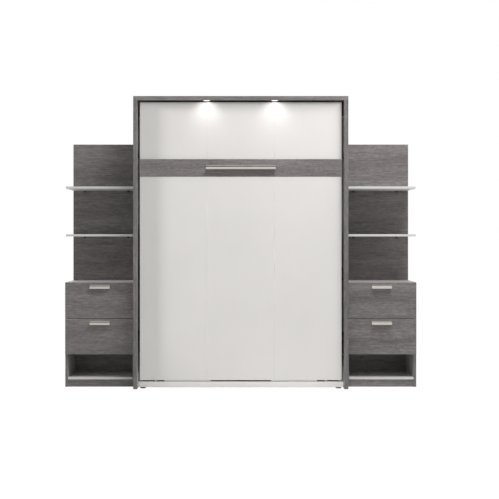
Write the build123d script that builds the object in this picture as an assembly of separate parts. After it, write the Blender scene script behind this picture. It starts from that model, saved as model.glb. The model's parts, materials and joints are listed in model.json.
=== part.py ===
# Full-size vertical wall bed between two shelving units, modelled closed.
# Millimetres. X runs across the bed, Y from its front to the wall, Z up from the floor.
# The origin lies on the floor, in the middle of the closed bed's width and depth.
from build123d import *
import os
from math import atan2, degrees, hypot, sqrt

# Mattress, a quilted shell round a core of springs
mattress_width = 1372.0
mattress_length = 1905.0
mattress_thickness = 220.0
mattress_shell = 20.0
mattress_corner = 30.0
mattress_side_gap = 1.0
soft_gap = 0.3

# Bed cabinet, made to hold the frame of that mattress
side_room = 34.3
cabinet_depth = 527.0
cabinet_board = 28.0
board_arris = 0.8
rear_rail_height = 100.0
rear_rail_board = 16.0
rear_rail_low = 110.0
wall_hole_radius = 3.0
wall_hole_spacing = 800.0
headboard_board = 16.0
headboard_bottom = 250.0
headboard_height = 850.0
headboard_off_wall = 64.0

# Kick board and glides
kick_board = 16.0
kick_height = 40.0
kick_setback = 85.0
kick_glide_radius = 20.0
kick_glide_height = 7.0
kick_glide_inset = 33.0
gable_glide_radius = 12.0
gable_glide_height = 5.0
gable_glide_inset = 40.0

# Puck lights
light_offset = 238.0
light_radius = 31.5
light_from_front = 33.0
light_flange = 3.0
light_body_radius = 28.0
light_body_height = 12.0
light_lens_radius = 25.0
light_lens_thickness = 1.5
light_fit = 0.2

# Bed face
face_board = 16.0
face_recess = 18.0
face_side_gap = 17.5
face_top_gap = 14.0
face_bottom = 66.0
face_below_mattress = 14.0
face_above_frame = 19.0
face_seam = 0.8
face_middle_width = 470.0
band_below_face_top = 397.5
band_height = 122.5
band_board = 16.0

# Bed pull
pull_length = 484.0
pull_height = 30.7
pull_reach = 30.0
pull_above_band_edge = 50.7
pull_wall = 3.0
pull_lip_height = 17.0
pull_lip_wall = 4.0
pull_fin_height = 5.4
pull_fin_reach = 8.0

# Bed frame
pivot_behind_face = 85.0
pivot_above_edge = 260.0
frame_head_gap = 34.0
rail_width = 25.0
rail_depth = 50.0
rail_wall = 2.0
cross_rail_count = 4
slat_count = 14
slat_width = 75.0
slat_board = 12.0
slat_bearing = 15.0
slat_end_gap = 12.0
cleat_inner = 213.0
cleat_outer = 533.0
cleat_depth = 29.0
cleat_bevel = 13.0
tab_offset = 594.0
tab_width = 14.0
tab_thickness = 8.0
swing_clearance = 1.5

# Pivots
ear_plate = 4.0
ear_radius = 22.0
ear_weld_height = 88.0
pivot_plate = 4.0
pivot_plate_depth = 110.0
pivot_plate_height = 150.0
pivot_pin_radius = 8.0
pivot_boss_radius = 13.0
bush_wall = 2.5
bush_flange = 1.5
bush_flange_wall = 3.0
screw_head_radius = 5.0
screw_head_height = 1.6
screw_head_inset = 14.0
running_fit = 0.05
side_play = 0.4

# Swing-down legs
leg_below_frame_end = 85.0
leg_bar = 6.0
leg_bar_width = 32.0
leg_stud_radius = 6.0
leg_shoulder_radius = 9.0
leg_stud_head = 1.5
leg_foot_thickness = 10.0
leg_foot_depth = 44.0
leg_foot_height = 12.0
leg_floor_gap = 0.5

# Gas struts
strut_tube_radius = 9.0
strut_tube_wall = 1.0
strut_spare_length = 173.0
strut_rod_radius = 4.0
strut_guide_length = 18.0
strut_piston_length = 12.0
strut_piston_stand = 30.0
strut_eye_radius = 9.0
strut_eye_width = 8.0
strut_neck_length = 6.0
strut_neck_radius = 3.5
strut_pin_radius = 4.0
strut_anchor_behind = 30.0
strut_anchor_above = 480.0
strut_lug_behind = 38.0
strut_lug_below = 82.0
strut_lug_radius = 14.0
anchor_plate_depth = 50.0
anchor_plate_height = 90.0
anchor_shoulder_radius = 7.0

# Side units
unit_width = 497.1
unit_depth = 396.0
unit_height = 742.7
unit_board = 19.0
tower_height = 1752.7
tower_board = 16.0
shelf_board = 16.0
shelf_depth = 337.0
shelf_heights = {"lower": 1068.2, "upper": 1408.6}
support_radius = 7.0
support_length = 26.0
support_spacing = 320.0
niche_shelf_board = 16.0
unit_kick_height = 53.0
unit_kick_board = 16.0
unit_kick_recess = 9.0
divider_board = 16.0

# Drawers
drawer_front_board = 16.0
drawer_front_height = 252.4
drawer_front_gap = 3.4
drawer_front_reveal = 2.0
drawer_top_reveal = 1.7
drawer_buffer = 2.0
drawer_box_board = 12.0
drawer_bottom_board = 6.0
drawer_box_height = 180.0
drawer_box_depth = 325.0
drawer_box_raise = 30.0
runner_gap = 12.7
runner_bar = 6.1
runner_fixed_height = 45.0
runner_moving_height = 35.0
runner_overlap = 70.0
runner_raise = 50.0
drawer_travel = 250.0

# Drawer pulls
tab_pull_length = 141.0
tab_pull_height = 26.0
tab_pull_below_top = 16.4
tab_pull_reach = 23.0
tab_pull_wall = 2.5
tab_pull_flange = 2.0

# How far a cut runs past the surface that it starts at
cut_past = 1.0

# Places worked out from the sizes above
sides = {"left": -1, "right": 1}
frame_half = mattress_width / 2 + mattress_side_gap
gable_inner = frame_half + side_room
gable_outer = gable_inner + cabinet_board
mattress_low = face_bottom + face_below_mattress
frame_high = mattress_low + mattress_length
face_top = frame_high + face_above_frame
top_underside = face_top + face_top_gap
cabinet_height = top_underside + cabinet_board
band_front_proud = band_board - face_recess
closed_depth = cabinet_depth + band_front_proud + pull_reach
wall = closed_depth / 2
cabinet_front = wall - cabinet_depth
gable_bottom = gable_glide_height
kick_front = cabinet_front + kick_setback
kick_top = kick_glide_height + kick_height

face_front = cabinet_front + face_recess
face_back = face_front + face_board
face_half = gable_inner - face_side_gap
band_front = face_front - band_board
band_top = face_top - band_below_face_top
band_bottom = band_top - band_height
pull_bottom = band_bottom + pull_above_band_edge
pivot_y = face_front + pivot_behind_face
pivot_z = face_bottom + pivot_above_edge

frame_low = face_bottom + frame_head_gap
frame_back = face_back + rail_depth
rail_centre = face_back + rail_depth / 2
slat_back = frame_back + slat_board
mattress_front = slat_back + soft_gap
mattress_back = mattress_front + mattress_thickness

ear_inner = frame_half
ear_outer = ear_inner + ear_plate
plate_face = gable_inner - pivot_plate
bush_radius = pivot_pin_radius + running_fit + bush_wall

leg_centre = (face_half + gable_inner) / 2
leg_inner = leg_centre - leg_bar / 2
leg_outer = leg_centre + leg_bar / 2
leg_pivot_height = frame_high - leg_below_frame_end
leg_open_height = pivot_z + rail_centre - pivot_y
leg_length = leg_open_height - leg_floor_gap

strut_centre = (ear_outer + plate_face) / 2
anchor_y = pivot_y + strut_anchor_behind
anchor_z = pivot_z + strut_anchor_above
lug_y = pivot_y + strut_lug_behind
lug_z = pivot_z - strut_lug_below
lug_open_y = pivot_y + strut_lug_below
lug_open_z = pivot_z + strut_lug_behind
strut_closed_length = hypot(anchor_y - lug_y, anchor_z - lug_z)
strut_open_length = hypot(anchor_y - lug_open_y, anchor_z - lug_open_z)
strut_closed_angle = atan2(lug_y - anchor_y, anchor_z - lug_z)
strut_open_angle = atan2(lug_open_y - anchor_y, anchor_z - lug_open_z)
strut_travel = strut_closed_length - strut_open_length
strut_tube_length = strut_travel + strut_spare_length

unit_inner = gable_outer
unit_outer = unit_inner + unit_width
unit_centre = unit_inner + unit_width / 2
unit_front = wall - unit_depth
tower_front = wall - tower_board
carcass_front = unit_front + drawer_front_board + drawer_buffer
carcass_inner = unit_inner + unit_board
carcass_outer = unit_outer - unit_board
unit_top_underside = unit_height - unit_board
niche_floor = unit_kick_height + niche_shelf_board
drawer_front_top = {"upper": unit_height - drawer_top_reveal}
drawer_front_top["lower"] = drawer_front_top["upper"] - drawer_front_height - drawer_front_gap
divider_bottom = drawer_front_top["lower"] - drawer_front_height + drawer_front_reveal
drawer_back = unit_front + drawer_front_board
runner_length = drawer_travel + runner_overlap
box_inner = carcass_inner + runner_gap
box_outer = carcass_outer - runner_gap


# A place along X measured outwards from the middle, on the left (-1) or the right (1)
def across(side, near, far):
    return (near, far) if side > 0 else (-far, -near)


# A rectangular board between two places on each axis, with its edges taken off
def board(x, y, z, arris=board_arris):
    block = Box(x[1] - x[0], y[1] - y[0], z[1] - z[0])
    if arris:
        block = fillet(block.edges(), arris)
    return Pos((x[0] + x[1]) / 2, (y[0] + y[1]) / 2, (z[0] + z[1]) / 2) * block


# A round bar along X between two places
def round_bar(radius, x, y, z):
    return Pos((x[0] + x[1]) / 2, y, z) * Rot(0, 90, 0) * Cylinder(radius, x[1] - x[0])


# A round bar along Z between two heights
def upright_bar(radius, x, y, z):
    return Pos(x, y, (z[0] + z[1]) / 2) * Cylinder(radius, z[1] - z[0])


# A flat outline in Y and Z, carried along X between two places
def section_bar(outline, x):
    face = make_face(Polyline([(x[0], y, z) for y, z in outline], close=True))
    return extrude(face, amount=x[1] - x[0], dir=(1, 0, 0))


# An open-ended rectangular tube along the axis named, between two places on each axis
def tube(axis, x, y, z):
    outer = board(x, y, z, arris=0)
    inner = [x, y, z]
    for n in range(3):
        if n != "XYZ".index(axis):
            inner[n] = (inner[n][0] + rail_wall, inner[n][1] - rail_wall)
    return outer - board(*inner, arris=0)


# Places of equal pieces spread evenly between two ends, as (low, high) pairs
def spread(count, size, low, high):
    step = (high - low - size) / (count - 1)
    return [(low + n * step, low + n * step + size) for n in range(count)]


# The lowest place that a point of the bed may have at a depth, to swing over the kick board
def swing_floor(depth):
    reach = pivot_z - kick_top - swing_clearance
    return pivot_z - sqrt(reach**2 - (depth - pivot_y) ** 2)


def save(name, *solids):
    shape = solids[0] if len(solids) == 1 else Compound(children=list(solids))
    shape.label = name
    export_step(shape, f"parts/{name}.step")


# Gables, top, kick board, rear rails and headboard
def bed_cabinet():
    for name, side in sides.items():
        x = across(side, gable_inner, gable_outer)
        save(f"gable_{name}", board(x, (cabinet_front, wall), (gable_bottom, top_underside)))

    top = board((-gable_outer, gable_outer), (cabinet_front, wall), (top_underside, cabinet_height))
    recess_top = top_underside + light_body_height + light_fit
    for x, y in light_places():
        top -= upright_bar(light_body_radius + light_fit, x, y, (top_underside, recess_top))
    save("top_panel", top)

    y = (kick_front, kick_front + kick_board)
    save("kick_panel", board((-gable_inner, gable_inner), y, (kick_glide_height, kick_top)))

    rails = []
    for low in (rear_rail_low, top_underside - rear_rail_height):
        z = (low, low + rear_rail_height)
        rail = board((-gable_inner, gable_inner), (wall - rear_rail_board, wall), z)
        for x in (-wall_hole_spacing / 2, wall_hole_spacing / 2):
            hole = Cylinder(wall_hole_radius, 2 * (rear_rail_board + cut_past))
            rail -= Pos(x, wall, low + rear_rail_height / 2) * Rot(90, 0, 0) * hole
        rails.append(rail)
    save("rear_rails", *rails)

    headboard_back = wall - headboard_off_wall
    y = (headboard_back - headboard_board, headboard_back)
    z = (headboard_bottom, headboard_bottom + headboard_height)
    save("headboard_panel", board((-gable_inner, gable_inner), y, z))


# Round glides under the gables and under the ends of the kick board
def glides():
    pieces = []
    for side in sides.values():
        middle = side * (gable_inner + cabinet_board / 2)
        for y in (cabinet_front + gable_glide_inset, wall - gable_glide_inset):
            pieces.append(upright_bar(gable_glide_radius, middle, y, (0, gable_glide_height)))
        x = side * (gable_inner - kick_glide_inset)
        y = kick_front + kick_board / 2
        pieces.append(upright_bar(kick_glide_radius, x, y, (0, kick_glide_height)))
    save("glides", *pieces)


def light_places():
    y = cabinet_front + light_from_front
    return [(side * light_offset, y) for side in sides.values()]


# Puck lights: a flanged housing let into the top panel, with a lens in its mouth
def puck_lights():
    flange_bottom = top_underside - light_flange
    lens_top = flange_bottom + light_lens_thickness
    housings = []
    lenses = []
    for x, y in light_places():
        flange = upright_bar(light_radius, x, y, (flange_bottom, top_underside))
        body = upright_bar(light_body_radius, x, y, (top_underside, top_underside + light_body_height))
        mouth = upright_bar(light_lens_radius + light_fit, x, y, (flange_bottom, lens_top))
        housings.append(flange + body - mouth)
        lenses.append(upright_bar(light_lens_radius, x, y, (flange_bottom, lens_top)))
    save("led_housings", *housings)
    save("led_lenses", *lenses)


# Steel plates on the gables, each with the pin that its side of the bed turns on
def pivot_plates():
    pieces = []
    for side in sides.values():
        y = (pivot_y - pivot_plate_depth / 2, pivot_y + pivot_plate_depth / 2)
        z = (pivot_z - pivot_plate_height / 2, pivot_z + pivot_plate_height / 2)
        piece = board(across(side, plate_face, gable_inner), y, z, arris=0)
        boss_end = ear_outer + bush_flange + side_play
        piece += round_bar(pivot_boss_radius, across(side, boss_end, plate_face), pivot_y, pivot_z)
        pin_end = ear_inner + side_play
        piece += round_bar(pivot_pin_radius, across(side, pin_end, boss_end), pivot_y, pivot_z)
        for screw_y in (y[0] + screw_head_inset, y[1] - screw_head_inset):
            for screw_z in (z[0] + screw_head_inset, z[1] - screw_head_inset):
                head = across(side, plate_face - screw_head_height, plate_face)
                piece += round_bar(screw_head_radius, head, screw_y, screw_z)
        pieces.append(piece)
    save("pivot_plates", *pieces)


# Flanged bushes pressed into the frame's ears, which turn on the pins
def pivot_bushes():
    pieces = []
    for side in sides.values():
        sleeve = round_bar(bush_radius, across(side, ear_inner, ear_outer), pivot_y, pivot_z)
        flange_x = across(side, ear_outer, ear_outer + bush_flange)
        flange = round_bar(bush_radius + bush_flange_wall, flange_x, pivot_y, pivot_z)
        bore_x = across(side, ear_inner - cut_past, ear_outer + bush_flange + cut_past)
        pieces.append(sleeve + flange - round_bar(pivot_pin_radius + running_fit, bore_x, pivot_y, pivot_z))
    save("pivot_bushes", *pieces)


# Plates high on the gables, each with the stud that a gas strut hangs from
def strut_anchors():
    pieces = []
    for side in sides.values():
        y = (anchor_y - anchor_plate_depth / 2, anchor_y + anchor_plate_depth / 2)
        z = (anchor_z - anchor_plate_height / 2, anchor_z + anchor_plate_height / 2)
        piece = board(across(side, plate_face, gable_inner), y, z, arris=0)
        eye_inner = strut_centre - strut_eye_width / 2
        eye_outer = strut_centre + strut_eye_width / 2
        shoulder = across(side, eye_outer + side_play, plate_face)
        piece += round_bar(anchor_shoulder_radius, shoulder, anchor_y, anchor_z)
        stud = across(side, eye_inner - side_play, eye_outer + side_play)
        piece += round_bar(strut_pin_radius, stud, anchor_y, anchor_z)
        clip = across(side, eye_inner - side_play - screw_head_height, eye_inner - side_play)
        piece += round_bar(anchor_shoulder_radius, clip, anchor_y, anchor_z)
        for screw_z in (z[0] + screw_head_inset, z[1] - screw_head_inset):
            head = across(side, plate_face - screw_head_height, plate_face)
            piece += round_bar(screw_head_radius, head, anchor_y, screw_z)
        pieces.append(piece)
    save("strut_anchors", *pieces)


# Turns a piece about the anchor stud, from straight down to the closed strut's lean
def lean(piece):
    turn = Pos(0, anchor_y, anchor_z) * Rot(degrees(strut_closed_angle), 0, 0)
    return turn * Pos(0, -anchor_y, -anchor_z) * piece


# Gas struts: a tube with an eye on the gable's stud, and a rod with a piston inside it
def gas_struts():
    tube_top = anchor_z - strut_eye_radius - strut_neck_length
    tube_bottom = tube_top - strut_tube_length
    guide_top = tube_bottom + strut_guide_length
    bore = strut_tube_radius - strut_tube_wall
    eye_x = (strut_centre - strut_eye_width / 2, strut_centre + strut_eye_width / 2)
    rod_end = anchor_z - strut_closed_length
    piston_bottom = guide_top + strut_piston_stand
    for name, side in sides.items():
        x = side * strut_centre
        eye = across(side, *eye_x)
        barrel = upright_bar(strut_tube_radius, x, anchor_y, (tube_bottom, tube_top))
        barrel -= upright_bar(bore, x, anchor_y, (guide_top, tube_top - strut_tube_wall))
        guide_z = (tube_bottom - cut_past, guide_top)
        barrel -= upright_bar(strut_rod_radius + running_fit, x, anchor_y, guide_z)
        neck = upright_bar(strut_neck_radius, x, anchor_y, (tube_top, anchor_z))
        barrel += neck + round_bar(strut_eye_radius, eye, anchor_y, anchor_z)
        eye_bore = across(side, eye_x[0] - cut_past, eye_x[1] + cut_past)
        barrel -= round_bar(strut_pin_radius + running_fit, eye_bore, anchor_y, anchor_z)
        save(f"strut_cylinder_{name}", lean(barrel))

        rod = upright_bar(strut_rod_radius, x, anchor_y, (rod_end, piston_bottom))
        piston_z = (piston_bottom, piston_bottom + strut_piston_length)
        rod += upright_bar(bore - running_fit, x, anchor_y, piston_z)
        rod += round_bar(strut_eye_radius, eye, anchor_y, rod_end)
        pin = across(side, ear_outer + side_play, eye_x[0])
        rod += round_bar(strut_pin_radius, pin, anchor_y, rod_end)
        save(f"strut_rod_{name}", lean(rod))


# Three upright boards of the face, the band across them and the long pull on the band
def bed_face():
    seam = face_middle_width / 2
    ranges = {
        "left": (-face_half, -seam - face_seam),
        "middle": (-seam, seam),
        "right": (seam + face_seam, face_half),
    }
    for name, x in ranges.items():
        save(f"face_panel_{name}", board(x, (face_front, face_back), (face_bottom, face_top)))

    band_z = (band_bottom, band_top)
    save("face_band", board((-face_half, face_half), (band_front, face_front), band_z))

    tip = band_front - pull_reach
    lip_back = tip + pull_lip_wall
    plate = band_front - pull_wall
    fin = band_front - pull_fin_reach
    low = pull_bottom
    high = pull_bottom + pull_height
    outline = [
        (band_front, low),
        (tip, low),
        (tip, low + pull_lip_height),
        (lip_back, low + pull_lip_height),
        (lip_back, low + pull_wall),
        (plate, low + pull_wall),
        (plate, high - pull_fin_height),
        (fin, high - pull_fin_height),
        (fin, high),
        (band_front, high),
    ]
    pull = section_bar(outline, (-pull_length / 2, pull_length / 2))
    edges = pull.edges().filter_by(Axis.X)
    pull = fillet(edges, board_arris)
    save("bed_pull", pull)


# White cleats that stiffen the face's lower edge, cut away below to swing over the kick board
def face_cleats():
    bevel_y = face_back + cleat_bevel
    back_y = face_back + cleat_depth
    low = swing_floor(bevel_y)
    outline = [
        (face_back, swing_floor(face_back)),
        (bevel_y, low),
        (back_y, low),
        (back_y, frame_low),
        (face_back, frame_low),
    ]
    spans = [across(side, cleat_inner, cleat_outer) for side in sides.values()]
    save("face_cleats", *[section_bar(outline, x) for x in spans])


def cross_rail_heights():
    return spread(cross_rail_count, rail_width, frame_low, frame_high)


# Welded frame of rectangular tube, with its hinge ears, leg studs and lower tabs
def bed_frame():
    rail_inner = frame_half - rail_width
    y = (face_back, frame_back)
    pieces = []
    heights = cross_rail_heights()
    for z in heights:
        pieces.append(tube("X", (-rail_inner, rail_inner), y, z))
    for lower, upper in zip(heights, heights[1:]):
        pieces.append(tube("Z", (-rail_width / 2, rail_width / 2), y, (lower[1], upper[0])))
    for side in sides.values():
        pieces.append(tube("Z", across(side, rail_inner, frame_half), y, (frame_low, frame_high)))
        pieces.append(hinge_ear(side))
        pieces.append(leg_stud(side))
        tab_x = (side * tab_offset - tab_width / 2, side * tab_offset + tab_width / 2)
        tab_y = (face_back, face_back + tab_thickness)
        pieces.append(board(tab_x, tab_y, (swing_floor(face_back), frame_low), arris=0))
    save("bed_frame", *pieces)


# Flat ear welded to the rail, from the pivot down to the lug that the gas strut pushes on
def hinge_ear(side):
    x = across(side, ear_inner, ear_outer)
    rounds = [(pivot_y, pivot_z, ear_radius), (lug_y, lug_z, strut_lug_radius)]
    blank = []
    for y, z, radius in rounds:
        circle = Pos(y, z) * Circle(radius)
        blank.append(circle)
    weld = (rail_centre, pivot_z)
    blank.append(Pos(*weld) * Rectangle(rail_depth - 2 * rail_wall, ear_weld_height))
    outline = make_hull([edge for shape in blank for edge in shape.edges()])
    plate = extrude(Plane.YZ * outline, amount=ear_plate)
    plate = Pos(x[0], 0, 0) * plate
    return plate - round_bar(bush_radius, (x[0] - cut_past, x[1] + cut_past), pivot_y, pivot_z)


# Headed stud, with a shoulder, that a leg turns on
def leg_stud(side):
    place = (rail_centre, leg_pivot_height)
    spacer = across(side, frame_half, leg_inner - side_play)
    shank = across(side, leg_inner - side_play, leg_outer + side_play)
    head = across(side, leg_outer + side_play, leg_outer + side_play + leg_stud_head)
    piece = round_bar(leg_shoulder_radius, spacer, *place) + round_bar(leg_stud_radius, shank, *place)
    return piece + round_bar(leg_shoulder_radius, head, *place)


# Flat steel legs that hang beside the face and reach the floor when the bed is down
def legs():
    half = leg_bar_width / 2
    y = (rail_centre - half, rail_centre + half)
    low = leg_pivot_height - leg_length
    for name, side in sides.items():
        x = across(side, leg_inner, leg_outer)
        leg = board(x, y, (low, leg_pivot_height), arris=0)
        leg += round_bar(half, x, rail_centre, leg_pivot_height)
        foot_x = across(side, leg_centre - leg_foot_thickness / 2, leg_centre + leg_foot_thickness / 2)
        foot_y = (rail_centre - leg_foot_depth / 2, rail_centre + leg_foot_depth / 2)
        leg += board(foot_x, foot_y, (low, low + leg_foot_height), arris=leg_floor_gap)
        bore_x = (x[0] - cut_past, x[1] + cut_past)
        leg -= round_bar(leg_stud_radius + running_fit, bore_x, rail_centre, leg_pivot_height)
        save(f"leg_{name}", leg)


# Slats across the rails, and the mattress on them
def slats_and_mattress():
    half = frame_half - rail_width + slat_bearing
    slats = []
    for z in spread(slat_count, slat_width, frame_low + slat_end_gap, frame_high - slat_end_gap):
        slats.append(board((-half, half), (frame_back, slat_back), z))
    save("slats", *slats)

    x = (-mattress_width / 2, mattress_width / 2)
    y = (mattress_front, mattress_back)
    z = (mattress_low, mattress_low + mattress_length)
    mattress = board(x, y, z, arris=mattress_corner)
    core = [(low + mattress_shell, high - mattress_shell) for low, high in (x, y, z)]
    save("mattress", mattress - board(*core, arris=mattress_corner - mattress_shell))


# Carcass, tower panel, shelves and niche of one side unit
def side_unit(name, side):
    full = across(side, unit_inner, unit_outer)
    inside = across(side, carcass_inner, carcass_outer)
    y = (carcass_front, tower_front)
    cheeks = [board(across(side, unit_inner, carcass_inner), y, (0, unit_top_underside))]
    cheeks.append(board(across(side, carcass_outer, unit_outer), y, (0, unit_top_underside)))
    save(f"unit_{name}_sides", *cheeks)
    save(f"unit_{name}_top", board(full, y, (unit_top_underside, unit_height)))
    save(f"unit_{name}_divider", board(inside, y, (divider_bottom, divider_bottom + divider_board)))
    save(f"unit_{name}_niche_shelf", board(inside, y, (unit_kick_height, niche_floor)))
    save(f"unit_{name}_tower", board(full, (tower_front, wall), (0, tower_height)))
    for shelf, height in shelf_heights.items():
        shelf_y = (tower_front - shelf_depth, tower_front)
        save(f"unit_{name}_shelf_{shelf}", board(full, shelf_y, (height, height + shelf_board)))


def unit_kicks():
    y = (carcass_front + unit_kick_recess, carcass_front + unit_kick_recess + unit_kick_board)
    spans = [across(side, carcass_inner, carcass_outer) for side in sides.values()]
    save("unit_kicks", *[board(x, y, (0, unit_kick_height)) for x in spans])


# Black round supports that stand out of the tower panels, just under each shelf
def shelf_supports():
    pieces = []
    for side in sides.values():
        for offset in (-support_spacing / 2, support_spacing / 2):
            for height in shelf_heights.values():
                x = side * unit_centre + offset
                peg = Pos(x, tower_front - support_length / 2, height - support_radius) * Rot(90, 0, 0)
                pieces.append(peg * Cylinder(support_radius, support_length))
    save("shelf_supports", *pieces)


def box_bottom(level):
    return drawer_front_top[level] - drawer_front_height + drawer_box_raise


def runner_z(level, height):
    middle = box_bottom(level) + runner_raise
    return (middle - height / 2, middle + height / 2)


# Fixed halves of the drawer runners, on the cheeks of both side units
def runner_rails():
    pieces = []
    y = (carcass_front, carcass_front + runner_length)
    for side in sides.values():
        for level in drawer_front_top:
            z = runner_z(level, runner_fixed_height)
            near = across(side, carcass_inner, carcass_inner + runner_bar)
            far = across(side, carcass_outer - runner_bar, carcass_outer)
            pieces += [board(near, y, z), board(far, y, z)]
    save("runner_rails", *pieces)


# Front, box, moving runners and pull of one drawer
def drawer(name, side, level):
    top = drawer_front_top[level]
    x = across(side, unit_inner + drawer_front_reveal, unit_outer - drawer_front_reveal)
    save(f"{name}_front", board(x, (unit_front, drawer_back), (top - drawer_front_height, top)))

    low = box_bottom(level)
    high = low + drawer_box_height
    y = (drawer_back, drawer_back + drawer_box_depth)
    walls = [
        board(across(side, box_inner, box_inner + drawer_box_board), y, (low, high)),
        board(across(side, box_outer - drawer_box_board, box_outer), y, (low, high)),
    ]
    between = across(side, box_inner + drawer_box_board, box_outer - drawer_box_board)
    walls.append(board(between, (y[0], y[0] + drawer_box_board), (low, high)))
    walls.append(board(between, (y[1] - drawer_box_board, y[1]), (low, high)))
    floor_y = (y[0] + drawer_box_board, y[1] - drawer_box_board)
    walls.append(board(between, floor_y, (low, low + drawer_bottom_board)))
    save(f"{name}_box", *walls)

    runner_y = (drawer_back + drawer_buffer, drawer_back + drawer_buffer + runner_length)
    z = runner_z(level, runner_moving_height)
    near = across(side, box_inner - runner_bar, box_inner)
    far = across(side, box_outer, box_outer + runner_bar)
    save(f"{name}_runners", board(near, runner_y, z), board(far, runner_y, z))

    save(f"{name}_pull", tab_pull(side * unit_centre, top - tab_pull_below_top))


# Convex tab pull: a flat flange on the drawer front, with a quarter round curling down over the fingers
def tab_pull(x, top):
    bottom = top - tab_pull_height
    centre = Pos(unit_front, bottom)
    ring = centre * (Circle(tab_pull_reach) - Circle(tab_pull_reach - tab_pull_wall))
    quadrant = Rectangle(2 * tab_pull_reach, 2 * tab_pull_reach)
    quarter = centre * Pos(-tab_pull_reach, tab_pull_reach) * quadrant
    flange = Pos(unit_front - tab_pull_flange / 2, bottom + tab_pull_height / 2) * Rectangle(
        tab_pull_flange, tab_pull_height
    )
    outline = (ring & quarter) + flange
    return Pos(x, 0, 0) * extrude(Plane.YZ * outline, amount=tab_pull_length / 2, both=True)


def build():
    os.makedirs("parts", exist_ok=True)
    bed_cabinet()
    glides()
    puck_lights()
    pivot_plates()
    pivot_bushes()
    strut_anchors()
    gas_struts()
    bed_face()
    face_cleats()
    bed_frame()
    legs()
    slats_and_mattress()
    unit_kicks()
    shelf_supports()
    runner_rails()
    turn = degrees(strut_open_angle - strut_closed_angle)
    print(f"a gas strut turns {turn:.2f} degrees and closes by {strut_travel:.1f} mm as the bed comes down")
    for name, side in sides.items():
        side_unit(name, side)
        for level in drawer_front_top:
            drawer(f"drawer_{name}_{level}", side, level)


build()
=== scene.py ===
import json
from math import cos, pi, radians, sin, tau
import bmesh
import bpy
from mathutils import Matrix, Vector


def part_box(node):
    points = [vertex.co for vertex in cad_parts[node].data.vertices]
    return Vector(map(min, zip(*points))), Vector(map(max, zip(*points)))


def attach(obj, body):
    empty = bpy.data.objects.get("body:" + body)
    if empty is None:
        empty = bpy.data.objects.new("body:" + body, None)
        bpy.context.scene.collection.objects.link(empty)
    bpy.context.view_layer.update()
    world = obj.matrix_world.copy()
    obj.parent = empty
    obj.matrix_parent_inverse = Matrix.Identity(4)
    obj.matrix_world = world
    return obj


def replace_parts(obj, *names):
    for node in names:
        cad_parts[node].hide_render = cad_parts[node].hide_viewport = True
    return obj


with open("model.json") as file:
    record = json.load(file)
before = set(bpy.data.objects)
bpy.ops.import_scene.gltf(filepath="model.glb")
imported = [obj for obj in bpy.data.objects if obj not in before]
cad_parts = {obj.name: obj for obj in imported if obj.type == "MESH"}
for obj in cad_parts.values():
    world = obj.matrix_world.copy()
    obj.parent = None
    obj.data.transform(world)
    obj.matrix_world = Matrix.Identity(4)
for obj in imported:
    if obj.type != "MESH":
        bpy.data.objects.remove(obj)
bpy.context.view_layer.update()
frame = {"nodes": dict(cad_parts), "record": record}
nodes = frame["nodes"]
scene = bpy.context.scene
scene.view_settings.view_transform = "Standard"
print("frame loaded:", len(nodes), "nodes")


class Value:  # a node's output socket that takes part in plain arithmetic
    def __init__(self, finish, socket):
        self.finish = finish
        self.socket = socket

    def math(self, operation, *others):
        terms = dict(enumerate((self, *others)))
        return self.finish.node("Math", {"operation": operation}, terms)

    def __add__(self, other):
        return self.math("ADD", other)

    def __radd__(self, other):
        return self.math("ADD", other)

    def __sub__(self, other):
        return self.math("SUBTRACT", other)

    def __rsub__(self, other):
        return self.finish.node("Math", {"operation": "SUBTRACT"}, {0: other, 1: self})

    def __mul__(self, other):
        return self.math("MULTIPLY", other)

    def __rmul__(self, other):
        return self.math("MULTIPLY", other)

    def __truediv__(self, other):
        return self.math("DIVIDE", other)

    def __pow__(self, other):
        return self.math("POWER", other)

    def __abs__(self):
        return self.math("ABSOLUTE")

    def clip(self, low, high):  # 0 below low and 1 above high
        return self.finish.node("MapRange", {}, {"Value": self, "From Min": low, "From Max": high})


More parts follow.
